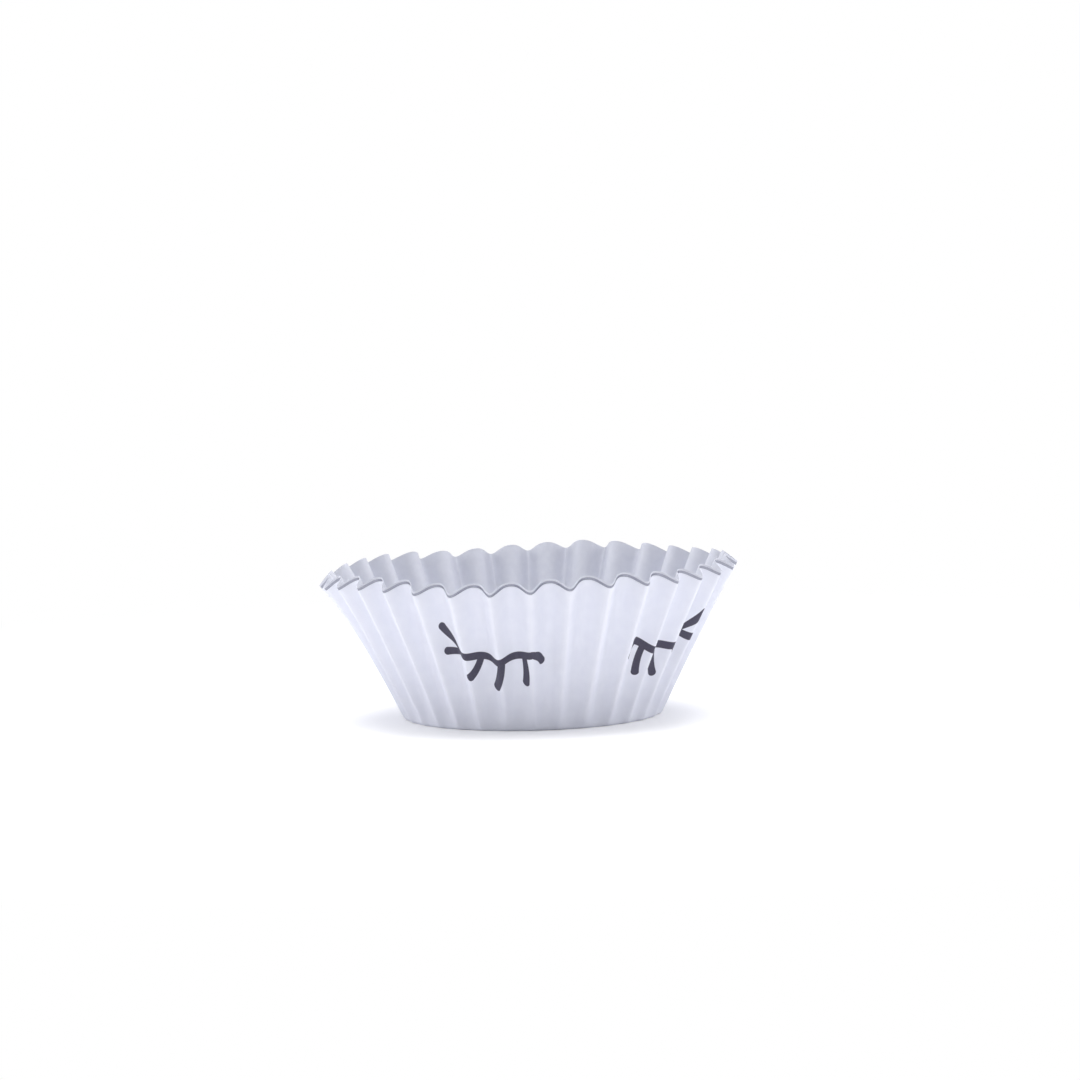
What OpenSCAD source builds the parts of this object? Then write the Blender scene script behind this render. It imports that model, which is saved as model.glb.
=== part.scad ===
// Pleated paper liner for baking, pressed from one stack of round sheets.
// The origin is at the middle of the underside, +Z is up, and a fold faces the front (-Y).
// All lengths are in millimetres and all angles in degrees.

/* [Base] */
// Diameter of the base, measured where the slope of the wall would meet the table
base_d = 50; // [30:0.5:80]
// Radius of the bend between the base and the wall
corner_r = 1; // [0.6:0.1:2.5]

/* [Wall] */
// Length of the wall, measured up the slope of a ridge from where it would meet the table
wall_len = 31.4; // [15:0.2:50]
// Lean of the ridges away from upright at the foot of the wall
wall_lean = 27; // [12:0.5:40]

/* [Pleats] */
// Number of pleats around the wall
pleats = 32; // [16:1:40]
// Depth of a pleat at the rim, from the top of a ridge to the bottom of a valley
pleat_depth = 3; // [1:0.1:4.5]
// How much tighter the ridges are bent than the valleys
ridge_tightness = 0.15; // [0:0.01:0.24]
// How much further the paper reaches up in a valley than on a ridge
valley_rise = 0.35; // [0:0.05:1.5]

/* [Sheets] */
// Thickness of the printed outer sheet
outer_sheet_t = 0.08; // [0.05:0.01:0.15]
// Thickness of the foil and the inner sheet together
inner_sheets_t = 0.12; // [0.05:0.01:0.2]
// How far the outer sheet ends below the inner sheets at the rim
sheet_step = 0.8; // [0.1:0.1:1.5]

/* [Unevenness] */
// How far a fold strays from its even place around the wall
fold_stray = 0.3; // [0:0.1:1]
// How far the stack of sheets lay off the middle of the press, towards +X
stack_offset = 0.65; // [0:0.05:1]
// Height of the slow wave that runs around the rim, from its middle to its top
rim_wave = 0.4; // [0:0.05:0.8]
// How much further the wall leans at the rim than at its foot, in the middle of the -X side
left_curl = 19; // [0:1:30]
// How much further the wall leans at the rim than at its foot, in the middle of the +X side
right_curl = 4; // [0:1:30]

/* [Hidden] */

// Facets: columns across one pleat, and rows up the bend and up the wall
pleat_steps = 8;
bend_rows = 3;
wall_rows = 6;
// Columns gather at the ridges, where the paper turns sharply, and rows gather at the foot
column_gather = 0.45;
row_gather = 1.3;
// Distance over which the direction square to the paper is measured
probe = 0.01;
// Points lie on a grid too fine to see, so that the wall and the base share one edge exactly
grid = 1 / 1024;

// The waves that the unevenness follows
stray_turn = 92;
stray_start = 130;
rim_waves = 5;
rim_wave_start = 19;
// Both side curls are narrow, and set in late on the way up the wall: each follows a power
side_power = 16;
curl_power = 3;

// The ridge line is flat, then bends up by this angle and goes on as the wall
bend_angle = 90 - wall_lean;
bend_len = corner_r * bend_angle * PI / 180;
bend_setback = corner_r * tan(bend_angle / 2);
flat_r = base_d / 2 - bend_setback;
slope_len = wall_len - bend_setback;
paper_len = bend_len + slope_len;
paper_t = outer_sheet_t + inner_sheets_t;

// Whole folds, numbered from the front one, which is 0, back along both sides
folds = round(pleats);
columns = folds * pleat_steps;
back_fold = floor(folds / 2);
function fold_number(fold) = (fold + back_fold + folds) % folds - back_fold;

// Place across the pleats of one column, counted in pleats from the front fold
function column_place(c) =
    let (pleat = floor(c / pleat_steps), share = (c % pleat_steps) / pleat_steps)
    pleat - back_fold + share - column_gather * sin(360 * share) / (2 * PI);

// How far a place lies towards the valley: 0 on a ridge and 1 in a valley
function valley_share(place) =
    (1 - cos(360 * place) + ridge_tightness * (1 - cos(720 * place))) / 2;

// Direction from the axis to a place, turning from the front towards +X
function stray(fold) = fold_stray * sin(stray_turn * fold_number(fold) + stray_start);
function direction(place) =
    let (fold = floor(place), share = place - fold)
    360 / folds * place + stray(fold) * (1 - share) + stray(fold + 1) * share;

// Where the paper ends at a place, measured along it from the edge of the flat base
function rim_at(place) =
    let (turn = direction(place))
    paper_len + valley_rise * (valley_share(place) - 0.5)
    + stack_offset * sin(turn) + rim_wave * cos(rim_waves * (turn - rim_wave_start));

// How far the wall has bent outwards at a distance up it
function curl_at(up, turn) =
    (turn < 0 ? left_curl : right_curl)
    * pow(abs(sin(turn)), side_power) * pow(up / slope_len, curl_power);

// The ridge line at a distance along the paper: its radius, its height and its slope
function ridge_line(along, turn) =
    along <= bend_len
    ? let (slope = along / corner_r * 180 / PI)
      [flat_r + corner_r * sin(slope), corner_r * (1 - cos(slope)), slope]
    : let (
        up = along - bend_len,
        curl = curl_at(up, turn),
        chord = bend_angle - curl / (curl_power + 1)
      )
      [
        flat_r + corner_r * sin(bend_angle) + up * cos(chord),
        corner_r * (1 - cos(bend_angle)) + up * sin(chord),
        bend_angle - curl
      ];

// A wider circle gathers more paper, so the pleats deepen as the root of the distance,
// after a soft start within the bend
soft_start = corner_r / 2;
function depth_at(along) =
    pleat_depth * max(along, 0) / sqrt(paper_len * (max(along, 0) + soft_start));

// A point on the outside of the paper
function face_point(along, place) =
    let (
        turn = direction(place),
        line = ridge_line(along, turn),
        pressed = depth_at(along) * valley_share(place),
        r = line[0] - pressed * sin(line[2]),
        z = line[1] + pressed * cos(line[2])
    )
    [r * sin(turn), -r * cos(turn), z];

// Direction into the paper, square to its outside
function into_paper(along, place) =
    along <= 0
    ? [0, 0, 1]
    : let (
        up = face_point(along + probe, place) - face_point(along - probe, place),
        across = face_point(along, place + probe) - face_point(along, place - probe),
        square = cross(up, across)
      )
      square / norm(square);

// The point of the grid nearest to a point
function on_grid(point) = [for (value = point) round(value / grid) * grid];

// A point at a depth under the outside of the paper
function paper_point(along, place, under) =
    on_grid(face_point(along, place) + under * into_paper(along, place));

// Each row is a share of the way up the bend, a share of the way from there to the rim,
// how far short of the rim it ends, and its depth under the outside of the paper
function climb(short, under) = [
    for (i = [0:bend_rows - 1]) [i / bend_rows, 0, 0, under],
    for (i = [0:wall_rows]) [1, pow(i / wall_rows, row_gather), short, under]
];
function backwards(list) = [for (i = [len(list) - 1:-1:0]) list[i]];
function row_along(row, place) =
    bend_len * row[0] + (rim_at(place) - row[2] - bend_len) * row[1];

// The wall is one band of paper, closed around the edge of the flat base
module wall() {
    rows = concat(
        climb(sheet_step, 0),
        [[1, 1, sheet_step, outer_sheet_t], [1, 1, 0, outer_sheet_t]],
        backwards(climb(0, paper_t))
    );
    count = len(rows);
    points = [
        for (row = rows, c = [0:columns - 1])
            let (place = column_place(c))
            paper_point(row_along(row, place), place, row[3])
    ];
    faces = [
        for (i = [0:count - 1], c = [0:columns - 1])
            let (
                d = (c + 1) % columns,
                low = i * columns,
                high = ((i + 1) % count) * columns
            )
            each [
                [low + c, high + c, high + d],
                [low + c, high + d, low + d]
            ]
    ];
    polyhedron(points = points, faces = faces, convexity = 12);
}

// The base is the flat disc inside the bend, with the same edge as the wall
module base() {
    linear_extrude(paper_t)
        polygon([
            for (c = [0:columns - 1])
                let (edge = paper_point(0, column_place(c), 0))
                [edge[0], edge[1]]
        ]);
}

module liner() {
    color([0.89, 0.90, 0.96]) {
        wall();
        base();
    }
}

liner();
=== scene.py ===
# %% [markdown]
# A pleated paper cup for baking
#
# A baking cup starts as a flat round blank of paper with a print on its outside. A press
# folds the edge of the blank into pleats, and the middle stays flat as the base. This lesson
# follows the same steps: a blank with a print on it, a rule that folds it, and the finish of
# each paper. The solid model of the cup comes first, because it fixes the size and the place.

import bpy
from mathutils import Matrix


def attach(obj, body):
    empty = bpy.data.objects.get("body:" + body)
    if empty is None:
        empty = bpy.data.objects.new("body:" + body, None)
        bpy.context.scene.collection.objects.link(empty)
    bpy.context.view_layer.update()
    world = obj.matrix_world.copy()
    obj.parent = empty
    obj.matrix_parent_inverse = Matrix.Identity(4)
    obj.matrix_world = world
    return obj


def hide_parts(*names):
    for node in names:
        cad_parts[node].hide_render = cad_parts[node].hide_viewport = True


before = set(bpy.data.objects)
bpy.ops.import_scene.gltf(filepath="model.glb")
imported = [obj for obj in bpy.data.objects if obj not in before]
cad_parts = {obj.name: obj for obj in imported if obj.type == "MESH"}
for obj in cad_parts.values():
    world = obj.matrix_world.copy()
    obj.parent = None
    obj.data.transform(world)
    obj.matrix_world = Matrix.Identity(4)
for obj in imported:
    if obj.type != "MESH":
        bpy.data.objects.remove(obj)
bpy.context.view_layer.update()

# %% [markdown]
# Sizes
#
# The cup's sizes are the driving sizes of its solid, in metres and radians. They have names,
# because the same names become the inputs of the node trees below. Someone who opens the
# tree in Blender can then change the number of pleats or the depth of a fold by its name.

# %% Sizes of the cup
import math

import bmesh
import bpy
from mathutils import Matrix, Vector
from mathutils.bvhtree import BVHTree

MM = 0.001
DEGREE = math.radians(1)

cup_sizes = {
    "Base diameter": 50 * MM,
    "Corner radius": 1 * MM,
    "Wall length": 31.4 * MM,
    "Wall lean": 27 * DEGREE,
    "Left curl": 19 * DEGREE,
    "Right curl": 4 * DEGREE,
    "Pleats": 32,
    "Pleat depth": 3 * MM,
    "Ridge tightness": 0.15,
    "Valley rise": 0.35 * MM,
    "Fold stray": 0.3 * DEGREE,
    "Stack offset": 0.65 * MM,
    "Rim wave": 0.4 * MM,
}
print("Sizes that drive the cup:", len(cup_sizes))

# %% [markdown]
# The sheets
#
# The cup is a stack of three thin sheets: printed paper outside, foil, and greaseproof paper
# inside. The printed sheet is cut a little smaller, so from outside the rim shows a grey line
# of foil and a light line of the inner paper above it. No pleat of a pressed cup is quite
# like the next, so a small random share goes into each, from a fixed seed.

# %% Sizes of the sheets
sheet_sizes = {
    "Printed sheet": 0.08 * MM,
    "Foil sheet": 0.04 * MM,
    "Inner sheet": 0.08 * MM,
    "Foil step": 0.8 * MM,
    "Inner step": 0.32 * MM,
}
uneven_sizes = {
    "Seed": 7,
    "Depth stray": 0.06,
    "Valley stray": 0.12,
    "Pucker": 0.07 * MM,
    "Base rise": 0.25 * MM,
}
sizes = {**cup_sizes, **sheet_sizes, **uneven_sizes}
paper_thickness = sum(sheet_sizes[name] for name in ("Printed sheet", "Foil sheet", "Inner sheet"))
print("The stack of sheets is", round(paper_thickness / MM, 3), "mm thick")

# %% [markdown]
# Writing formulas with nodes
#
# A shape that follows a rule is best made by Geometry Nodes, but a formula of fifty Math
# nodes is hard to read in a script. The small class below stands for one number in a node
# tree. Adding or multiplying two of them adds the Math node and its links, so a formula in
# this file looks the way it does on paper, and the tree that it builds can be opened and
# studied in the node editor.

# %% A number in a node tree
FLOAT, VECTOR, MATERIAL = "NodeSocketFloat", "NodeSocketVector", "NodeSocketMaterial"
GEOMETRY = "NodeSocketGeometry"


class Number:
    """A number or vector in a node tree. Arithmetic on it adds Math nodes."""

    def __init__(self, tree, socket):
        self.tree = tree
        self.socket = socket

    def __add__(self, other):
        return math_node("ADD", self, other)

    def __sub__(self, other):
        return math_node("SUBTRACT", self, other)

    def __rsub__(self, other):
        return math_node("SUBTRACT", other, self)

    def __mul__(self, other):
        return math_node("MULTIPLY", self, other)

    def __truediv__(self, other):
        return math_node("DIVIDE", self, other)

    def __rtruediv__(self, other):
        return math_node("DIVIDE", other, self)

    def __pow__(self, other):
        return math_node("POWER", self, other)

    __radd__ = __add__


print("Kinds of sockets used here:", FLOAT, VECTOR, GEOMETRY, MATERIAL)


# %% Add nodes
def feed(tree, socket, value):
    """Links a number to a socket, or writes a plain value on it."""
    if isinstance(value, Number):
        tree.links.new(value.socket, socket)
    else:
        socket.default_value = value


def add_node(tree, kind, values=(), **settings):
    """A new node with its settings made and its inputs fed, by name or by place."""
    node = tree.nodes.new(kind)
    for name, value in settings.items():
        setattr(node, name, value)
    for key, value in values.items() if isinstance(values, dict) else enumerate(values):
        feed(tree, node.inputs[key], value)
    return node


def math_node(operation, *values):
    """One step of arithmetic. Plain values are written on the node, and numbers are linked."""
    tree = next(value.tree for value in values if isinstance(value, Number))
    node = add_node(tree, "ShaderNodeMath", values, operation=operation)
    return Number(tree, node.outputs[0])


def vector_node(operation, *values):
    tree = next(value.tree for value in values if isinstance(value, Number))
    node = add_node(tree, "ShaderNodeVectorMath", operation=operation)
    for socket, value in zip(node.inputs, values):
        feed(tree, socket, value)
    return Number(tree, node.outputs[0])


def scale_vector(vector, amount):
    values = {"Vector": vector, "Scale": amount}
    node = add_node(vector.tree, "ShaderNodeVectorMath", values, operation="SCALE")
    return Number(vector.tree, node.outputs[0])


trial = bpy.data.node_groups.new("trial", "GeometryNodeTree")
item = Number(trial, trial.nodes.new("GeometryNodeInputIndex").outputs[0])
odd_square = (item * 2 + 1) ** 2
print("One formula made", len(trial.nodes), "nodes and ends with", odd_square.socket.node.operation)

# %% [markdown]
# Names for the functions that the formulas use
#
# These are the sine and cosine of a number, its whole part, the smaller or larger of two, a
# smooth step between two values, and the parts of a vector. Each of them adds one node,
# apart from between, which is plain arithmetic.

# %% Functions of a number
def sine(value):
    return math_node("SINE", value)


def cosine(value):
    return math_node("COSINE", value)


def whole(value):
    return math_node("FLOOR", value)


def least(value, other):
    return math_node("MINIMUM", value, other)


def most(value, other):
    return math_node("MAXIMUM", value, other)


def between(start, end, share):
    return start + (end - start) * share


def smooth_step(value, start, end):
    """Goes from 0 at start to 1 at end; start may be the larger of the two."""
    node = add_node(value.tree, "ShaderNodeMapRange", interpolation_type="SMOOTHSTEP")
    for name, amount in {"Value": value, "From Min": start, "From Max": end}.items():
        feed(value.tree, node.inputs[name], amount)
    return Number(value.tree, node.outputs[0])


def vector_of(x, y, z):
    tree = next(value.tree for value in (x, y, z) if isinstance(value, Number))
    return Number(tree, add_node(tree, "ShaderNodeCombineXYZ", (x, y, z)).outputs[0])


def parts_of(vector):
    node = add_node(vector.tree, "ShaderNodeSeparateXYZ", (vector,))
    return [Number(vector.tree, socket) for socket in node.outputs]


eased = smooth_step(sine(odd_square), 0.0, 1.0)
print("With a sine and a smooth step the trial tree has", len(trial.nodes), "nodes")
print("Its last node is a", eased.socket.node.bl_label, "node")
bpy.data.node_groups.remove(trial)

# %% [markdown]
# Trees and groups
#
# A tree gets its inputs from a table of names and starting values. When one tree uses
# another as a group, the sockets that share a name are linked, so the cup's sizes pass down
# through every group without being written again. The nodes are then laid out in columns,
# each to the right of what feeds it, so that the finished tree can be read on the screen.

# %% Make a tree and use it in another
def new_tree(name, kind, inputs, outputs):
    """A node tree with named inputs and outputs, its inputs as numbers, and its output node."""
    tree = bpy.data.node_groups.new(name, kind)
    for label, start in inputs.items():
        sort = "NodeSocketInt" if isinstance(start, int) else MATERIAL if start is None else FLOAT
        socket = tree.interface.new_socket(label, in_out="INPUT", socket_type=sort)
        if start is not None:
            socket.default_value = start
    for label, sort in outputs.items():
        tree.interface.new_socket(label, in_out="OUTPUT", socket_type=sort)
    start_node = tree.nodes.new("NodeGroupInput")
    given = {socket.name: Number(tree, socket) for socket in start_node.outputs if socket.name}
    return tree, given, tree.nodes.new("NodeGroupOutput")


def use_group(tree, group, values):
    """Puts one tree inside another, and feeds the inputs that values names."""
    kind = "GeometryNodeGroup" if tree.type == "GEOMETRY" else "ShaderNodeGroup"
    node = tree.nodes.new(kind)
    node.node_tree = group
    for socket in node.inputs:
        if socket.name in values:
            feed(tree, socket, values[socket.name])
    return node


print("Sizes that pass down through the groups by name:", len(sizes))

# %% Lay a tree out
COLUMN_WIDTH, ROW_HEIGHT = 200, 180


def lay_out(tree):
    """Places the nodes in columns, each one to the right of all that feed it."""
    column = {node.name: 0 for node in tree.nodes}
    moved = True
    while moved:
        moved = False
        for link in tree.links:
            needed = column[link.from_node.name] + 1
            if column[link.to_node.name] < needed:
                column[link.to_node.name] = needed
                moved = True
    rows = dict.fromkeys(column.values(), 0)
    for node in tree.nodes:
        place = column[node.name]
        node.location = (place * COLUMN_WIDTH, rows[place] * -ROW_HEIGHT)
        rows[place] += 1
    return tree


print("The columns of a tree are", COLUMN_WIDTH, "units apart")

# %% [markdown]
# One fold
#
# Places around the cup are counted in pleats from the ridge at the front: 0 is that ridge,
# 0.5 is the bottom of the valley beside it, and 1 is the next ridge. This group turns a
# place into a direction and into how deep in the valley it lies. Each fold strays a little
# from its even direction, as on the solid cup, and each valley gets its own depth and lean.

# %% The fold group
# From fold to fold the stray goes this far round a sine wave, which starts at the second angle
STRAY_TURN, STRAY_START = 92 * DEGREE, 130 * DEGREE


def fold_number(fold, folds):
    """Numbers the folds from the front one, back along both sides to the one behind."""
    return math_node("WRAP", fold, folds / 2, folds / -2)


def random_number(item, seed, reach):
    """A number from -reach to reach that stays the same for the same item."""
    node = add_node(item.tree, "FunctionNodeRandomValue", data_type="FLOAT")
    values = {"Min": reach * -1, "Max": reach, "ID": item, "Seed": seed}
    for socket in node.inputs:
        if socket.enabled and socket.name in values:
            feed(item.tree, socket, values[socket.name])
    return Number(item.tree, next(s for s in node.outputs if s.enabled))


def build_fold():
    results = dict.fromkeys(("Direction", "Valley", "Depth share"), FLOAT)
    tree, given, out = new_tree("Fold", "GeometryNodeTree", {"Place": 0.0, **sizes}, results)
    place, folds = given["Place"], given["Pleats"]
    fold = whole(place)
    share = place - fold
    number = fold_number(fold, folds)
    next_number = fold_number(fold + 1, folds)
    stray = given["Fold stray"] * sine(number * STRAY_TURN + STRAY_START)
    next_stray = given["Fold stray"] * sine(next_number * STRAY_TURN + STRAY_START)
    direction = place * (math.tau / folds) + between(stray, next_stray, share)

    lean = random_number(number, given["Seed"], given["Valley stray"])
    leant = share + lean * share * (1 - share)
    once = 1 - cosine(leant * math.tau)
    twice = 1 - cosine(leant * (2 * math.tau))
    valley = (once + given["Ridge tightness"] * twice) / 2
    depth_share = random_number(number, given["Seed"] + 1, given["Depth stray"]) + 1

    feed(tree, out.inputs["Direction"], direction)
    feed(tree, out.inputs["Valley"], valley)
    feed(tree, out.inputs["Depth share"], depth_share)
    return lay_out(tree)


fold_group = build_fold()
print("The fold group has", len(fold_group.nodes), "nodes")

# %% [markdown]
# The face of the paper
#
# Each ridge runs flat over the base, round a small bend and up the leaning wall. A valley is
# the same line pressed inwards, square to the ridge, and it deepens towards the rim, because
# a wider circle has more paper to take in. In the middle of the left side, and a little in
# the middle of the right side, the wall curls further outwards near the rim. A high power of
# the sine of the direction keeps each curl narrow. This group gives the point on the outer
# face at a distance along the paper, which is 0 at the edge of the flat base and less than 0
# on it.

# %% Lengths along the paper
def paper_lengths(given):
    """The lengths that follow from the sizes of the cup."""
    bend_angle = math.pi / 2 - given["Wall lean"]
    bend_len = given["Corner radius"] * bend_angle
    setback = given["Corner radius"] * math_node("TANGENT", bend_angle / 2)
    flat_r = given["Base diameter"] / 2 - setback
    slope_len = given["Wall length"] - setback
    return bend_angle, bend_len, flat_r, slope_len


bend = 90 - round(cup_sizes["Wall lean"] / DEGREE)
print("At the edge of the base the paper bends up by", bend, "degrees")

# %% The face group
# How narrow each curl is around the cup, and how late it sets in on the way up the wall
SIDE_POWER, CURL_POWER = 16, 3


def build_face_point():
    inputs = {"Along": 0.0, "Place": 0.0, **sizes}
    tree, given, out = new_tree("Point on the face", "GeometryNodeTree", inputs, {"Position": VECTOR})
    fold = use_group(tree, fold_group, given)
    direction, valley, depth_share = (Number(tree, socket) for socket in fold.outputs)
    bend_angle, bend_len, flat_r, slope_len = paper_lengths(given)
    along, corner_r = given["Along"], given["Corner radius"]

    on_flat = least(along, 0)
    on_wall = most(along, 0)
    turned = least(on_wall, bend_len) / corner_r
    up = most(along - bend_len, 0)
    on_left = math_node("LESS_THAN", direction, 0.0)
    side = math_node("ABSOLUTE", sine(direction)) ** SIDE_POWER
    full_curl = between(given["Right curl"], given["Left curl"], on_left)
    curl = full_curl * side * (up / slope_len) ** CURL_POWER
    chord = bend_angle - curl / (CURL_POWER + 1)
    ridge_r = flat_r + on_flat + corner_r * sine(turned) + up * cosine(chord)
    ridge_z = corner_r * (1 - cosine(turned)) + up * sine(chord)

    paper_len = bend_len + slope_len
    soft_start = corner_r / 2
    root = math_node("SQRT", paper_len * (on_wall + soft_start))
    pressed = given["Pleat depth"] * depth_share * on_wall / root * valley
    slope = turned - curl
    r = ridge_r - pressed * sine(slope)
    dome = 1 - ((flat_r + on_flat) / flat_r) ** 2
    z = ridge_z + pressed * cosine(slope) + given["Base rise"] * dome * dome

    point = vector_of(r * sine(direction), r * cosine(direction) * -1, z)
    feed(tree, out.inputs["Position"], point)
    return lay_out(tree)


face_group = build_face_point()
print("The face group has", len(face_group.nodes), "nodes")

# %% [markdown]
# A point inside the paper
#
# The stack of sheets has a thickness, and the foil and the inner paper lie under the outer
# face. The direction into the paper is square to the face. It is found by stepping a
# hair's breadth up and across the face and taking the cross product of the two steps. Soft
# puckers, which the press leaves in the flanks of the pleats, move all the sheets together.

# %% The group for a point in the paper
# The two small steps: one along the paper, and one across it, counted in pleats
PROBE_ALONG, PROBE_ACROSS = 0.02 * MM, 0.005
# How finely the puckers change around the cup and along the paper, and over which distance
# they set in
PUCKER_TURN, PUCKER_ALONG = 11.0, 130.0
PUCKER_FADE = 3 * MM


def build_paper_point():
    inputs = {"Along": 0.0, "Place": 0.0, "Under": 0.0, **sizes}
    tree, given, out = new_tree("Point in the paper", "GeometryNodeTree", inputs, {"Position": VECTOR})
    along, place = given["Along"], given["Place"]

    def face(distance, across):
        group = use_group(tree, face_group, {**given, "Along": distance, "Place": across})
        return Number(tree, group.outputs["Position"])

    above, below = face(along + PROBE_ALONG, place), face(along - PROBE_ALONG, place)
    after, before = face(along, place + PROBE_ACROSS), face(along, place - PROBE_ACROSS)
    up = vector_node("SUBTRACT", above, below)
    across = vector_node("SUBTRACT", after, before)
    square = vector_node("NORMALIZE", vector_node("CROSS_PRODUCT", up, across))
    on_wall = math_node("GREATER_THAN", along, 0.0)
    straight_up = vector_of(0.0, 0.0, 1 - on_wall)
    inwards = vector_node("ADD", scale_vector(square, on_wall), straight_up)

    angle = place * (math.tau / given["Pleats"])
    flat_r = paper_lengths(given)[2]
    reach = least(along / flat_r + 1, 1) * PUCKER_TURN
    spot = vector_of(sine(angle) * reach, cosine(angle) * reach, along * PUCKER_ALONG)
    noise = add_node(tree, "ShaderNodeTexNoise", {"Vector": spot, "Scale": 1.0, "Detail": 1.0})
    distance = math_node("ABSOLUTE", along)
    pucker = given["Pucker"] * Number(tree, noise.outputs[0]) * distance / (distance + PUCKER_FADE)

    sunk = scale_vector(inwards, given["Under"] + pucker)
    feed(tree, out.inputs["Position"], vector_node("ADD", face(along, place), sunk))
    return lay_out(tree)


paper_group = build_paper_point()
print("The paper group has", len(paper_group.nodes), "nodes")

# %% [markdown]
# A band of paper
#
# The skin of the cup is a closed loop of bands: the floor, the inside of the wall, the cut
# edges and steps of the rim, the printed outside, and the underside. Each band is a grid
# whose rows run along the paper and whose columns run round the cup, and each grid is bent
# into place by the group above. Columns gather at the ridges, which turn sharply. The place
# of every point on the flat blank goes into a UV map, because the print was laid on the
# paper before it was folded.

# %% Rows and columns of a band
# The UV map shows a square of the flat paper, a little wider than the blank
BLANK_D = 120 * MM
# Columns gather at the ridges, and rows at the foot of the wall
COLUMNS_PER_PLEAT = 24
COLUMN_GATHER, ROW_GATHER = 0.6, 1.5
# The flanks of a pleat are steeper than its ridge, so more of the paper lies in them
PAPER_GATHER = 0.35
# The slow wave around the rim: its number of waves, and the direction of its first top
RIM_WAVES, RIM_WAVE_START = 5, 19 * DEGREE
# Points of neighbouring bands that lie this close become one
MERGE = 0.001 * MM


def store(tree, mesh, name, value, data_type="FLOAT", domain="POINT"):
    """Keeps a field on the mesh under a name, so that a material can read it."""
    node = add_node(tree, "GeometryNodeStoreNamedAttribute", data_type=data_type, domain=domain)
    for label, amount in {"Geometry": mesh, "Name": name, "Value": value}.items():
        feed(tree, node.inputs[label], amount)
    return Number(tree, node.outputs[0])


print("A band has", cup_sizes["Pleats"] * COLUMNS_PER_PLEAT, "columns around the cup")


# %% The band group
def build_band():
    inputs = {"Rows": 1, "Layer": 0}
    for end in ("from", "to"):
        inputs |= {f"Reach {end}": 0.0, f"Short {end}": 0.0, f"Under {end}": 0.0}
    inputs |= sizes
    tree, given, out = new_tree("Band of paper", "GeometryNodeTree", inputs, {"Mesh": GEOMETRY})
    folds = given["Pleats"]
    points = {"Vertices X": given["Rows"] + 1, "Vertices Y": folds * COLUMNS_PER_PLEAT + 1}
    grid = add_node(tree, "GeometryNodeMeshGrid", {"Size X": 1.0, "Size Y": 1.0, **points})
    row, column, _ = parts_of(Number(tree, tree.nodes.new("GeometryNodeInputPosition").outputs[0]))
    row_share, turns = row + 0.5, (column + 0.5) * folds
    place = turns - folds / 2 - sine(turns * math.tau) * (COLUMN_GATHER / math.tau)

    fold = use_group(tree, fold_group, {**given, "Place": place})
    direction, valley = (Number(tree, fold.outputs[name]) for name in ("Direction", "Valley"))
    bend_angle, bend_len, flat_r, slope_len = paper_lengths(given)
    rim = bend_len + slope_len + given["Valley rise"] * (valley - 0.5)
    rim = rim + given["Stack offset"] * sine(direction)
    rim = rim + given["Rim wave"] * cosine((direction - RIM_WAVE_START) * RIM_WAVES)

    reach = between(given["Reach from"], given["Reach to"], row_share)
    short = between(given["Short from"], given["Short to"], row_share)
    climb = most(reach, 0) ** ROW_GATHER
    along = (rim - short) * climb + flat_r * least(reach, 0)
    under = between(given["Under from"], given["Under to"], row_share)

    paper_place = place - sine(place * (2 * math.tau)) * climb * (PAPER_GATHER / (2 * math.tau))
    paper_angle = paper_place * (math.tau / folds)
    paper_r = (flat_r + along) / BLANK_D
    blank = vector_of(paper_r * sine(paper_angle) + 0.5, 0.5 - paper_r * cosine(paper_angle), 0.0)

    mesh = Number(tree, grid.outputs["Mesh"])
    mesh = store(tree, mesh, "valley", valley * most(reach, 0))
    mesh = store(tree, mesh, "climb", climb)
    mesh = store(tree, mesh, "blank", blank, "FLOAT2", "CORNER")
    mesh = store(tree, mesh, "layer", given["Layer"], "INT", "FACE")
    spot = use_group(tree, paper_group, {**given, "Along": along, "Place": place, "Under": under})
    place_node = add_node(tree, "GeometryNodeSetPosition")
    feed(tree, place_node.inputs["Geometry"], mesh)
    feed(tree, place_node.inputs["Position"], Number(tree, spot.outputs["Position"]))
    feed(tree, out.inputs["Mesh"], Number(tree, place_node.outputs[0]))
    return lay_out(tree)


band_group = build_band()
print("The band group has", len(band_group.nodes), "nodes")

# %% [markdown]
# The whole cup
#
# The bands follow the skin of the paper once round its section, from the middle of the floor
# to the middle of the underside. Neighbours end on exactly the same points, so merging those
# points closes the skin. Every face keeps the number of its layer, which then picks its
# material. The materials start as empty names here and get their finish further down.

# %% The bands in order
layers = ["printed_paper", "foil", "inner_paper", "cut_edge"]
materials = {name: bpy.data.materials.new(name) for name in layers}
# Rows of faces across the flat base, up the wall, and on each step of the rim
FLAT_ROWS, WALL_ROWS, EDGE_ROWS = 8, 28, 2


def skin_of(given):
    """Each stop along the section: how far out it lies, how far short of the rim, and its depth.

    The rows and the layer belong to the band that leads to the stop.
    """
    printed, foil, inner = given["Printed sheet"], given["Foil sheet"], given["Inner sheet"]
    step, inner_step = given["Foil step"], given["Inner step"]
    under_foil = printed + foil
    bottom = under_foil + inner
    return [
        (-1.0, 0.0, bottom, None, None),
        (0.0, 0.0, bottom, FLAT_ROWS, "inner_paper"),
        (1.0, 0.0, bottom, WALL_ROWS, "inner_paper"),
        (1.0, 0.0, under_foil, 1, "cut_edge"),
        (1.0, inner_step, under_foil, EDGE_ROWS, "inner_paper"),
        (1.0, inner_step, printed, 1, "cut_edge"),
        (1.0, step, printed, EDGE_ROWS, "foil"),
        (1.0, step, 0.0, 1, "cut_edge"),
        (0.0, step, 0.0, WALL_ROWS, "printed_paper"),
        (-1.0, 0.0, 0.0, FLAT_ROWS, "printed_paper"),
    ]


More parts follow.
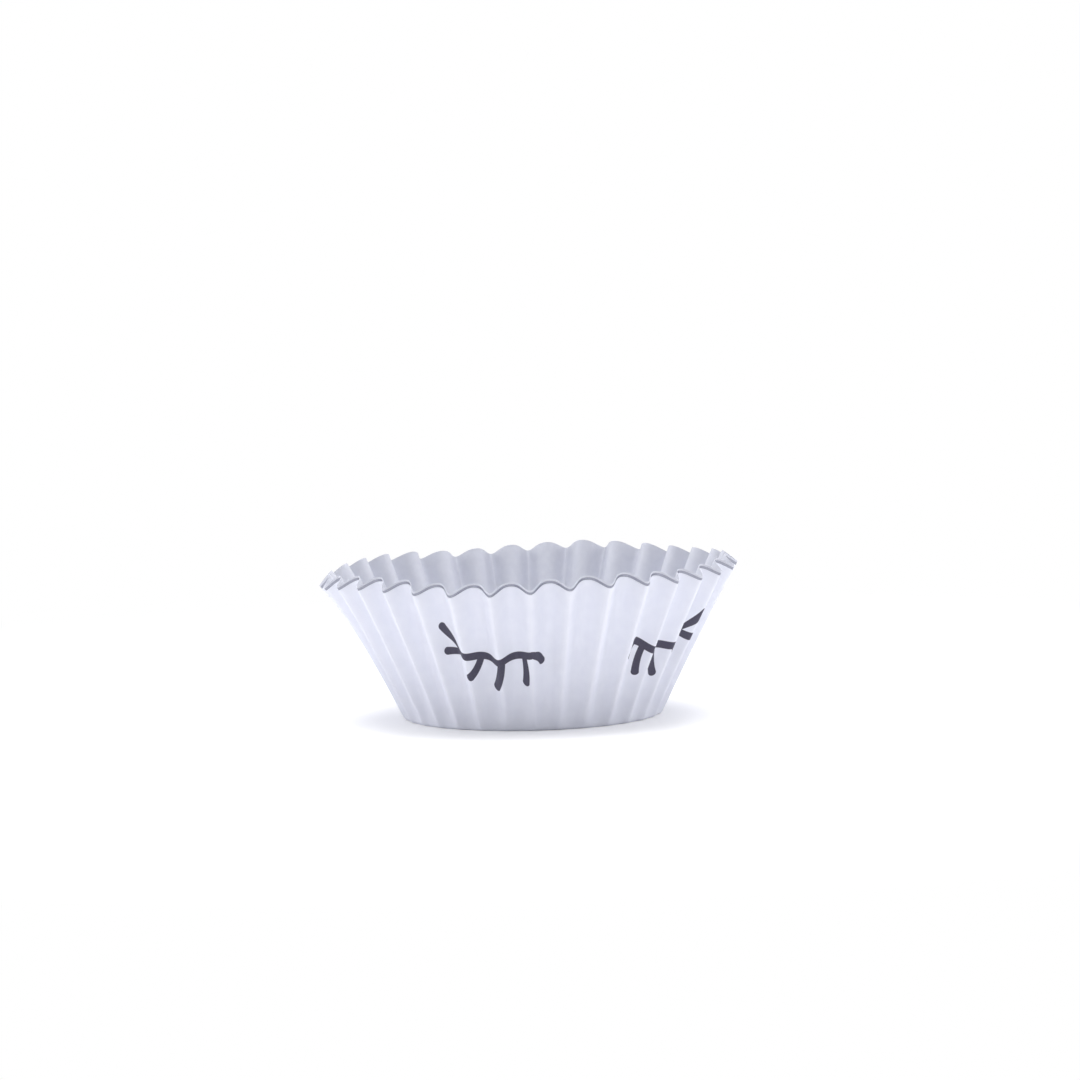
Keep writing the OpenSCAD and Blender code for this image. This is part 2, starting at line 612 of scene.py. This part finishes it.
print("The section has", len(skin_of(sizes)) - 1, "bands, in", len(layers), "layers")


# %% The cup tree
def build_cup():
    inputs = {**sizes, **dict.fromkeys(layers)}
    tree, given, out = new_tree("Pleated cup", "GeometryNodeTree", inputs, {"Geometry": GEOMETRY})
    join = tree.nodes.new("GeometryNodeJoinGeometry")
    stops = skin_of(given)
    for before, after in zip(stops, stops[1:]):
        *_, rows, layer = after
        values = {"Rows": rows, "Layer": layers.index(layer)}
        for end, stop in (("from", before), ("to", after)):
            values |= {f"Reach {end}": stop[0], f"Short {end}": stop[1], f"Under {end}": stop[2]}
        band = use_group(tree, band_group, {**given, **values})
        tree.links.new(band.outputs["Mesh"], join.inputs[0])
    merge = add_node(tree, "GeometryNodeMergeByDistance", {"Distance": MERGE})
    tree.links.new(join.outputs[0], merge.inputs["Geometry"])
    last = add_node(tree, "GeometryNodeRealizeInstances")
    tree.links.new(merge.outputs[0], last.inputs[0])

    layer_of = add_node(tree, "GeometryNodeInputNamedAttribute", {"Name": "layer"}, data_type="INT")
    for index, layer in enumerate(layers):
        paint = tree.nodes.new("GeometryNodeSetMaterial")
        tree.links.new(last.outputs[0], paint.inputs["Geometry"])
        feed(tree, paint.inputs["Material"], given[layer])
        if index > 0:
            is_layer = add_node(tree, "FunctionNodeCompare", data_type="INT", operation="EQUAL")
            ends = [socket for socket in is_layer.inputs if socket.enabled]
            tree.links.new(layer_of.outputs[0], ends[0])
            ends[1].default_value = index
            tree.links.new(is_layer.outputs[0], paint.inputs["Selection"])
        last = paint
    tree.links.new(last.outputs[0], out.inputs["Geometry"])
    return lay_out(tree)


cup_tree = build_cup()
print("The cup tree joins", len(cup_tree.nodes), "nodes")

# %% [markdown]
# From nodes to a plain mesh
#
# The tree runs as a modifier. Its inputs are set by the identifier of each socket, before
# the object is first evaluated. The result is then copied to a plain mesh and the modifier
# is taken off, so that what is measured here is exactly what is rendered. The grids bring
# one empty material slot with them, in front of the four layers, and it is taken out too.

# %% Run the tree
# Edges that turn further than this stay sharp, which keeps the cut edges crisp
SHARP_FROM = 40 * DEGREE


def run_tree(name, tree, values):
    """An object with the plain mesh that the tree makes."""
    cup = bpy.data.objects.new(name, bpy.data.meshes.new(name + "_start"))
    bpy.context.scene.collection.objects.link(cup)
    modifier = cup.modifiers.new("tree", "NODES")
    modifier.node_group = tree
    for item in tree.interface.items_tree:
        if item.item_type == "SOCKET" and item.in_out == "INPUT":
            modifier[item.identifier] = values[item.name]
    evaluated = cup.evaluated_get(bpy.context.evaluated_depsgraph_get())
    mesh = bpy.data.meshes.new_from_object(evaluated)
    cup.modifiers.clear()
    cup.data = mesh
    mesh.name = name
    mesh.materials.pop(index=0)
    mesh.shade_smooth()
    mesh.set_sharp_from_angle(angle=SHARP_FROM)
    return cup


liner = run_tree("liner_paper", cup_tree, {**sizes, **materials})
mesh = liner.data
print("The skin has", len(mesh.vertices), "points and", len(mesh.polygons), "faces")

# %% [markdown]
# Check the skin
#
# A closed skin has two faces at every edge. The distance from its points to the solid cup
# shows whether the two follow the same rule.

# %% Measure the skin against the solid
def open_edges_and_volume(mesh):
    measured = bmesh.new()
    measured.from_mesh(mesh)
    count = sum(not edge.is_manifold for edge in measured.edges)
    volume = measured.calc_volume(signed=True)
    measured.free()
    return count, volume


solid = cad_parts["liner"].data
solid_points = [point.co for point in solid.vertices]
solid_tree = BVHTree.FromPolygons(solid_points, [face.vertices for face in solid.polygons])
farthest = max(solid_tree.find_nearest(point.co)[3] for point in mesh.vertices)
edges_open, volume = open_edges_and_volume(mesh)
print("Open edges:", edges_open, "- volume:", round(volume / MM**3, 1), "mm3")
print("The skin lies within", round(farthest / MM, 3), "mm of the solid")

# %% [markdown]
# Finish of the paper
#
# The outside is smooth, matt printing paper with a cool, slightly lavender white. Close up
# it has a fine grain of fibres and faint clouds where the pulp lay thicker. A lighter line is
# painted along the crest of each ridge, which is a painted highlight.

# %% Colours
def linear(red, green, blue):
    """A screen colour, from 0 to 255, as the linear colour that Blender works with."""
    shares = [channel / 255 for channel in (red, green, blue)]
    dark = 0.04045
    return (*(c / 12.92 if c < dark else ((c + 0.055) / 1.055) ** 2.4 for c in shares), 1.0)


paper_colour = linear(234, 236, 247)
cloud_colour = linear(231, 233, 245)
# The colour of the painted highlight along the ridge crests
crest_highlight_colour = linear(242, 243, 251)
ink_colour = linear(66, 63, 82)
worn_ink_colour = linear(90, 87, 106)
print("The paper's linear colour is", [round(c, 3) for c in paper_colour])


# %% Helpers for materials
# Noise mostly stays near its middle, so this span of it goes all the way between two colours
NOISE_SPAN = (0.3, 0.7)


def start_material(name, **constants):
    """Gives a material one Principled shader with its constant values on its own sockets."""
    material = materials[name]
    material.use_nodes = True
    tree = material.node_tree
    shader = tree.nodes["Principled BSDF"]
    for label, value in constants.items():
        shader.inputs[label.replace("_", " ")].default_value = value
    return tree, shader


def attribute(tree, name):
    return Number(tree, add_node(tree, "ShaderNodeAttribute", attribute_name=name).outputs["Fac"])


def noise(tree, vector, size, detail=2.0, stretch=(1.0, 1.0, 1.0)):
    """Noise with features of a real size, in metres, from about 0 to 1."""
    mapped = add_node(tree, "ShaderNodeMapping", {"Vector": vector, "Scale": stretch})
    values = {"Vector": Number(tree, mapped.outputs[0]), "Scale": 1 / size, "Detail": detail}
    return Number(tree, add_node(tree, "ShaderNodeTexNoise", values).outputs[0])


def mix_colours(tree, share, colour, other):
    node = add_node(tree, "ShaderNodeMix", data_type="RGBA")
    feed(tree, node.inputs["Factor"], share)
    ends = [socket for socket in node.inputs if socket.enabled and socket.name in ("A", "B")]
    for socket, value in zip(ends, (colour, other)):
        feed(tree, socket, value)
    return Number(tree, next(socket for socket in node.outputs if socket.enabled))


def bump(tree, shader, height, depth):
    """A relief whose height of 1 stands for a real depth in metres."""
    node = add_node(tree, "ShaderNodeBump", {"Height": height, "Distance": depth, "Strength": 1.0})
    feed(tree, shader.inputs["Normal"], Number(tree, node.outputs[0]))


print("Materials that wait for their finish:", len(materials))

# %% [markdown]
# The print
#
# The print is a pair of closed eyes with lashes, drawn with a round marker, and a second
# pair on the far side of the cup. It is drawn on the flat blank, in the UV map, so the folds
# break its lines just as they do on the real cup. Each line is a stroke: a straight run that
# may sag or bend to a side. A shader group measures how far a point lies from one stroke,
# and the least of those distances tells ink from paper.

# %% The stroke group
def build_stroke():
    places = ("X", "Y", "Start X", "Start Y")
    shape = ("Angle", "Length", "Bend", "Width", "Tip width")
    inputs = dict.fromkeys(places + shape, 0.0)
    tree, given, out = new_tree("Stroke", "ShaderNodeTree", inputs, {"Distance": FLOAT})
    x = given["X"] - given["Start X"]
    y = given["Y"] - given["Start Y"]
    across, along = cosine(given["Angle"]), sine(given["Angle"])
    forward = x * across + y * along
    side = y * across - x * along
    run = least(most(forward, 0), given["Length"])
    share = run / given["Length"]
    # The bend is a parabola: none of it at either end of the run, and all of it in the middle
    line = given["Bend"] * 4 * share * (1 - share)
    ahead = forward - run
    beside = side - line
    distance = math_node("SQRT", ahead * ahead + beside * beside)
    width = between(given["Width"], given["Tip width"], share)
    feed(tree, out.inputs["Distance"], distance - width / 2)
    return lay_out(tree)


stroke_group = build_stroke()
print("The stroke group has", len(stroke_group.nodes), "nodes")

# %% [markdown]
# Layout of the eyes
#
# Both eyes of a pair are the same drawing, mirrored about the middle of the pair. The pairs
# lie opposite each other, so folding the directions round the blank into one half turn, and
# then about the middle of the pair, leaves a single eye to draw. Its lid is a long shallow
# arc with a short corner at its inner end. Four lashes fan out from straight down to the
# outer side, and a fifth sweeps up. The blank lay a little off the middle of the press, so
# the whole print is moved by the same distance.

# %% Sizes of the eye
# The direction of the middle of the front pair, the angle from there to each eye, and how far
# the eyes lie from the middle of the blank
PAIR_MIDDLE = 18.7 * DEGREE
HALF_PAIR = 32.6 * DEGREE
EYE_RADIUS = 39.3 * MM
# The width of a line, how far the print is moved, and the soft edge of the ink
LINE = 1.55 * MM
PRINT_OFFSET = cup_sizes["Stack offset"]
INK_BLUR = 0.04 * MM
# Both ends of the lid, and how far it sags between them
lid_inner = Vector((-9.5, 1.5)) * MM
lid_outer = Vector((8.6, 2.4)) * MM
lid_sag = 0.9 * MM
# The corner and each lash: its root as a share of the lid, its direction in degrees, its length
# in millimetres, and how thick it is at the root against the line
lashes = [
    (0.0, -123, 3.2, 1.0),
    (0.13, -82, 5.7, 0.9),
    (0.43, -70, 6.1, 1.0),
    (0.71, -57, 4.7, 0.9),
    (0.98, -20, 4.0, 0.8),
    (1.0, 38, 5.9, 0.6),
]
lash_bend = -0.3 * MM
lash_tip = LINE * 1.1
print("The lid is", round((lid_outer - lid_inner).length / MM, 1), "mm long")


# %% The eye on the flat blank
def eye_strokes():
    """The lid and the lashes as inputs of the stroke group."""
    lid = lid_outer - lid_inner
    strokes = [(lid_inner, math.atan2(lid.y, lid.x), lid.length, -lid_sag, LINE, LINE)]
    for root, angle, length, thickness in lashes:
        # Each root lies on the sagging line of the lid
        start = lid_inner + lid * root - Vector((0, lid_sag)) * 4 * root * (1 - root)
        strokes.append((start, angle * DEGREE, length * MM, lash_bend, LINE * thickness, lash_tip))
    return strokes


def ink_on(tree, position):
    """1 where the blank is printed and 0 where it is bare."""
    x, y, _ = parts_of(position)
    x = x - PRINT_OFFSET
    direction = math_node("ARCTAN2", x, y * -1)
    radius = math_node("SQRT", x * x + y * y)
    in_half = math_node("WRAP", direction - PAIR_MIDDLE, math.pi / 2, -math.pi / 2)
    outwards = math_node("ABSOLUTE", in_half) - HALF_PAIR
    eye_x = radius * sine(outwards)
    eye_y = radius * cosine(outwards) - EYE_RADIUS
    nearest = None
    for start, angle, length, bend, width, tip in eye_strokes():
        values = {"X": eye_x, "Y": eye_y, "Start X": start.x, "Start Y": start.y}
        values |= {"Angle": angle, "Length": length, "Bend": bend, "Width": width, "Tip width": tip}
        distance = Number(tree, use_group(tree, stroke_group, values).outputs[0])
        nearest = distance if nearest is None else least(nearest, distance)
    return smooth_step(nearest, INK_BLUR, -INK_BLUR)


print("Each eye has", len(eye_strokes()), "strokes")

# %% [markdown]
# Printed paper
#
# The ink is a dark grey violet that soaks in a little, so it is slightly uneven and just a
# touch smoother than the bare paper.

# %% Finish of the printed paper
PAPER_IOR = 1.45
CLOUD_SIZE, FIBRE_SIZE = 2.5 * MM, 0.22 * MM
FIBRE_STRETCH = (1.0, 0.45, 1.0)
# The painted highlight on each crest ends where the valley reaches this share, and sets in over the
# foot of the wall
CREST_HIGHLIGHT_WIDTH, CREST_HIGHLIGHT_SHARE = 0.016, 0.08
CREST_HIGHLIGHT_FROM, CREST_HIGHLIGHT_TO = 0.02, 0.15
WEAR_SPAN, WEAR_SHARE = (0.3, 0.8), 0.25
# Fibres make the paper rougher, and ink makes it smoother
PAPER_ROUGH, FIBRE_ROUGH, INK_SHINE = 0.62, 0.12, 0.12
# Depth of the relief, and the height of a cloud against that of a fibre
PAPER_RELIEF, CLOUD_HEIGHT = 0.012 * MM, 2


def finish_printed_paper():
    tree, shader = start_material("printed_paper", IOR=PAPER_IOR)
    blank = Number(tree, add_node(tree, "ShaderNodeUVMap", uv_map="blank").outputs[0])
    position = scale_vector(vector_node("SUBTRACT", blank, (0.5, 0.5, 0.0)), BLANK_D)
    valley = attribute(tree, "valley")
    clouds = noise(tree, position, CLOUD_SIZE, detail=3.0)
    fibres = noise(tree, position, FIBRE_SIZE, detail=4.0, stretch=FIBRE_STRETCH)
    ink = ink_on(tree, position)

    paper = mix_colours(tree, smooth_step(clouds, *NOISE_SPAN), cloud_colour, paper_colour)
    # A painted highlight: a lighter line along each ridge crest, which sets in over the foot of the
    # wall
    on_wall = smooth_step(attribute(tree, "climb"), CREST_HIGHLIGHT_FROM, CREST_HIGHLIGHT_TO)
    crest_highlight = smooth_step(valley, CREST_HIGHLIGHT_WIDTH, 0.0) * on_wall
    paper = mix_colours(tree, crest_highlight * CREST_HIGHLIGHT_SHARE, paper, crest_highlight_colour)
    wear = smooth_step(fibres, *WEAR_SPAN) * WEAR_SHARE
    mottled = mix_colours(tree, wear, ink_colour, worn_ink_colour)
    colour = mix_colours(tree, ink, paper, mottled)
    feed(tree, shader.inputs["Base Color"], colour)
    rough = PAPER_ROUGH + fibres * FIBRE_ROUGH - ink * INK_SHINE
    feed(tree, shader.inputs["Roughness"], rough)
    bump(tree, shader, fibres + clouds * CLOUD_HEIGHT, PAPER_RELIEF)
    lay_out(tree)


finish_printed_paper()
print("The printed paper has", len(materials["printed_paper"].node_tree.nodes), "nodes")

# %% [markdown]
# Foil, inner paper and cut edges
#
# The foil is a soft grey metal that the press has scuffed. The inner paper is greaseproof:
# denser, a little greyer and smoother than the outer one, with a faint mottle. The cut edges
# are bare fibre, so they are rough and slightly darker. Nothing is printed on these three, so
# their patterns don't follow the blank but read Object coordinates.

# %% Foil
FOIL_DARK, FOIL_LIGHT = linear(136, 138, 151), linear(170, 172, 184)
SCUFF_SIZE = 0.5 * MM
FOIL_ROUGH, SCUFF_ROUGH = 0.42, 0.2
FOIL_RELIEF = 0.02 * MM


def finish_foil():
    tree, shader = start_material("foil", Metallic=1.0)
    place = Number(tree, tree.nodes.new("ShaderNodeTexCoord").outputs["Object"])
    scuffs = noise(tree, place, SCUFF_SIZE, detail=3.0)
    colour = mix_colours(tree, scuffs, FOIL_DARK, FOIL_LIGHT)
    feed(tree, shader.inputs["Base Color"], colour)
    feed(tree, shader.inputs["Roughness"], FOIL_ROUGH + scuffs * SCUFF_ROUGH)
    bump(tree, shader, scuffs, FOIL_RELIEF)
    lay_out(tree)


finish_foil()
print("The scuffs in the foil are about", round(SCUFF_SIZE / MM, 1), "mm wide")

# %% Inner paper
INNER_DARK, INNER_LIGHT = linear(205, 207, 218), linear(209, 211, 221)
INNER_IOR = 1.48
MOTTLE_SIZE, INNER_FIBRE = 1.2 * MM, 0.2 * MM
INNER_ROUGH, INNER_FIBRE_ROUGH = 0.5, 0.15
INNER_RELIEF, MOTTLE_HEIGHT = 0.01 * MM, 2


def finish_inner_paper():
    tree, shader = start_material("inner_paper", IOR=INNER_IOR)
    place = Number(tree, tree.nodes.new("ShaderNodeTexCoord").outputs["Object"])
    mottle = noise(tree, place, MOTTLE_SIZE, detail=4.0)
    fibres = noise(tree, place, INNER_FIBRE, detail=3.0)
    colour = mix_colours(tree, smooth_step(mottle, *NOISE_SPAN), INNER_DARK, INNER_LIGHT)
    feed(tree, shader.inputs["Base Color"], colour)
    feed(tree, shader.inputs["Roughness"], INNER_ROUGH + fibres * INNER_FIBRE_ROUGH)
    bump(tree, shader, fibres + mottle * MOTTLE_HEIGHT, INNER_RELIEF)
    lay_out(tree)


finish_inner_paper()
print("The mottle in the inner paper is about", round(MOTTLE_SIZE / MM, 1), "mm wide")

# %% Cut edges
EDGE_DARK, EDGE_LIGHT = linear(198, 200, 213), linear(220, 222, 233)
EDGE_FIBRE, EDGE_RELIEF = 0.1 * MM, 0.01 * MM
EDGE_ROUGH, EDGE_FIBRE_ROUGH = 0.8, 0.1


def finish_cut_edge():
    tree, shader = start_material("cut_edge", IOR=PAPER_IOR)
    place = Number(tree, tree.nodes.new("ShaderNodeTexCoord").outputs["Object"])
    fibres = noise(tree, place, EDGE_FIBRE)
    colour = mix_colours(tree, fibres, EDGE_DARK, EDGE_LIGHT)
    feed(tree, shader.inputs["Base Color"], colour)
    feed(tree, shader.inputs["Roughness"], EDGE_ROUGH + fibres * EDGE_FIBRE_ROUGH)
    bump(tree, shader, fibres, EDGE_RELIEF)
    lay_out(tree)


finish_cut_edge()
print("Materials:", *(m.name for m in mesh.materials))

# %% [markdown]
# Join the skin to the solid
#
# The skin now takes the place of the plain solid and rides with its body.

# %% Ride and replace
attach(liner, "root")
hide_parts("liner")
print("The skin rides on the body root")

# %% [markdown]
# The floor and the background
#
# The cup stands on a plain pale floor that keeps its soft shadow. Further out the floor fades
# into plain white, so that no horizon shows. Both the fade and a little added white are seen
# only by rays from the camera, and in shiny or clear things, so they shine no light onto the
# cup.

# %% Floor
FLOOR_SIZE = 12.0


def build_floor():
    half = FLOOR_SIZE / 2
    corners = [(-half, -half, 0), (half, -half, 0), (half, half, 0), (-half, half, 0)]
    floor_mesh = bpy.data.meshes.new("floor")
    floor_mesh.from_pydata(corners, [], [(0, 1, 2, 3)])
    floor = bpy.data.objects.new("floor", floor_mesh)
    bpy.context.scene.collection.objects.link(floor)
    return floor


floor = build_floor()
print("The floor is", FLOOR_SIZE, "m wide")


# %% Rays that see a thing directly
def seen_directly(tree):
    """1 for rays from the camera, and for those that metal mirrors or glass lets through."""
    path = tree.nodes.new("ShaderNodeLightPath")
    camera_ray, glossy_ray, clear_ray = (
        Number(tree, path.outputs[f"Is {kind} Ray"]) for kind in ("Camera", "Glossy", "Transmission")
    )
    return most(most(camera_ray, glossy_ray), clear_ray)


WHITE = (1.0, 1.0, 1.0, 1.0)
print("What such rays see fades into", WHITE[:3])

# %% Finish of the floor
# Distances from the middle of the floor, in metres
FADE_FROM, FADE_TO = 0.06, 0.22
floor_colour = (0.94, 0.94, 0.95, 1.0)
floor_grain_colour = (0.92, 0.92, 0.94, 1.0)
# The little added white
floor_glow = 0.14
GRAIN_SIZE, GRAIN_SHARE = 3 * MM, 0.3
FLOOR_ROUGH = 0.9


def finish_floor(floor):
    material = bpy.data.materials.new("floor")
    material.use_nodes = True
    floor.data.materials.append(material)
    tree = material.node_tree
    shader = tree.nodes["Principled BSDF"]
    place = Number(tree, tree.nodes.new("ShaderNodeTexCoord").outputs["Object"])
    grain = noise(tree, place, GRAIN_SIZE)
    colour = mix_colours(tree, grain * GRAIN_SHARE, floor_colour, floor_grain_colour)
    feed(tree, shader.inputs["Base Color"], colour)
    shader.inputs["Roughness"].default_value = FLOOR_ROUGH
    shader.inputs["Specular IOR Level"].default_value = 0.0
    shader.inputs["Emission Color"].default_value = WHITE
    seen = seen_directly(tree)
    feed(tree, shader.inputs["Emission Strength"], seen * floor_glow)
    x, y, _ = parts_of(place)
    far = smooth_step(math_node("SQRT", x * x + y * y), FADE_FROM, FADE_TO) * seen
    white = add_node(tree, "ShaderNodeEmission", {"Color": WHITE, "Strength": 1.0})
    mix = tree.nodes.new("ShaderNodeMixShader")
    feed(tree, mix.inputs["Fac"], far)
    tree.links.new(shader.outputs[0], mix.inputs[1])
    tree.links.new(white.outputs[0], mix.inputs[2])
    tree.links.new(mix.outputs[0], tree.nodes["Material Output"].inputs["Surface"])
    lay_out(tree)


finish_floor(floor)
print("The floor fades into white from", FADE_FROM, "to", FADE_TO, "m from the middle")

# %% [markdown]
# Light
#
# Two wide soft boxes stand to the left and right and a third hangs above, a little behind
# the cup, in an even pale surround. The flanks at the sides then come out bright, and the
# front of the wall, which leans out over the floor, falls off towards its foot. The powers
# are kept low enough that the white paper keeps its folds and doesn't wash out.

# %% Surround
surround_light = 0.44


def build_world():
    world = bpy.data.worlds.new("surround")
    bpy.context.scene.world = world
    world.use_nodes = True
    tree = world.node_tree
    lit = tree.nodes["Background"]
    lit.inputs["Color"].default_value = WHITE
    lit.inputs["Strength"].default_value = surround_light
    white = add_node(tree, "ShaderNodeBackground", {"Color": WHITE, "Strength": 1.0})
    mix = tree.nodes.new("ShaderNodeMixShader")
    feed(tree, mix.inputs["Fac"], seen_directly(tree))
    tree.links.new(lit.outputs[0], mix.inputs[1])
    tree.links.new(white.outputs[0], mix.inputs[2])
    tree.links.new(mix.outputs[0], tree.nodes["World Output"].inputs["Surface"])
    lay_out(tree)


build_world()
print("The surround gives light of strength", surround_light)

# %% Soft boxes
# The place and the size of each box are in metres, and its power is in watts
soft_boxes = {
    "left_box": ((-0.78, 0.08, 0.22), 0.55, 1.9),
    "right_box": ((0.78, 0.08, 0.22), 0.55, 1.85),
    "top_box": ((0.0, 0.1, 0.9), 0.7, 8.5),
}


def build_soft_box(name, place, size, power):
    """A square lamp of a given size, in metres, turned towards the cup."""
    lamp = bpy.data.lights.new(name, "AREA")
    lamp.shape = "SQUARE"
    lamp.size = size
    lamp.energy = power
    box = bpy.data.objects.new(name, lamp)
    bpy.context.scene.collection.objects.link(box)
    box.location = place
    box.rotation_euler = Vector(place).to_track_quat("Z", "Y").to_euler()


for name, (place, size, power) in soft_boxes.items():
    build_soft_box(name, place, size, power)
print("Soft boxes:", *soft_boxes)

# %% [markdown]
# Camera
#
# The picture was taken with a long lens from just above the level of the rim, with the
# camera turned very slightly about its own axis. The camera first looks straight at a point
# on the cup's axis, and is then turned so that this point falls where it does in the
# picture, which is 1080 pixels wide.

# %% Camera
PICTURE = 1080
PIXELS_PER_MM = 5.192
LOOK_AT = Vector((0, 0, 14 * MM))
LOOK_AT_PIXEL = (531.3, 641.7)
ELEVATION, ROLL = 6.56 * DEGREE, 1.47 * DEGREE
# The distance only sets how strong the perspective is, since the lens is fitted to it
CAMERA_DISTANCE = 0.9


def build_camera():
    camera = bpy.data.objects.new("camera", bpy.data.cameras.new("camera"))
    bpy.context.scene.collection.objects.link(camera)
    bpy.context.scene.camera = camera
    focal = PIXELS_PER_MM * CAMERA_DISTANCE / MM
    camera.data.lens = focal / PICTURE * camera.data.sensor_width
    back = Vector((0, -math.cos(ELEVATION), math.sin(ELEVATION)))
    right = Vector((1, 0, 0))
    up = back.cross(right)
    turned_right = math.cos(ROLL) * right - math.sin(ROLL) * up
    turned_up = math.sin(ROLL) * right + math.cos(ROLL) * up
    straight = Matrix((turned_right, turned_up, back)).transposed()
    x, y = ((pixel - PICTURE / 2) / focal for pixel in LOOK_AT_PIXEL)
    framing = Vector((x, -y, -1)).rotation_difference(Vector((0, 0, -1))).to_matrix()
    place = Matrix.Translation(LOOK_AT + back * CAMERA_DISTANCE)
    camera.matrix_world = place @ (straight @ framing).to_4x4()
    return camera


camera = build_camera()
print("The lens is", round(camera.data.lens, 1), "mm long")

# %% [markdown]
# Finish
#
# The picture keeps plain colours.

# %% Finish
bpy.context.scene.view_settings.view_transform = "Standard"
